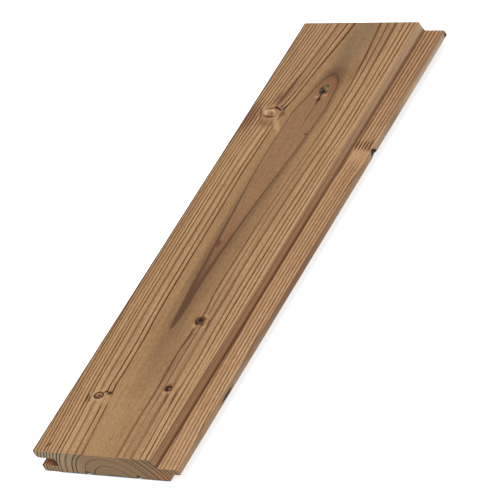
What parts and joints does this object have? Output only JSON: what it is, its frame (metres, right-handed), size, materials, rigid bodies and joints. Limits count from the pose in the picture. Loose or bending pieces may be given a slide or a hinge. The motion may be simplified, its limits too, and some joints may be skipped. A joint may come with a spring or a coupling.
{
  "type": "tongue and groove board",
  "caption": "Short length of heat-treated softwood cladding board with a square-lipped groove along one edge and a wide-ledged tongue along the other, relief grooves in its back.",
  "frame": {"origin": "middle of the underside of the board, which lies on its back with the face up", "axes": "+Y along the length (the picture's far end), +X from the grooved edge to the tongued edge, +Z from the back to the face"},
  "size_m": [0.118, 0.408, 0.02],
  "materials": {
    "softwood": "planed heat-treated softwood, unfinished"
  },
  "bodies": {
    "root": {"board": "softwood"}
  },
  "joints": []
}
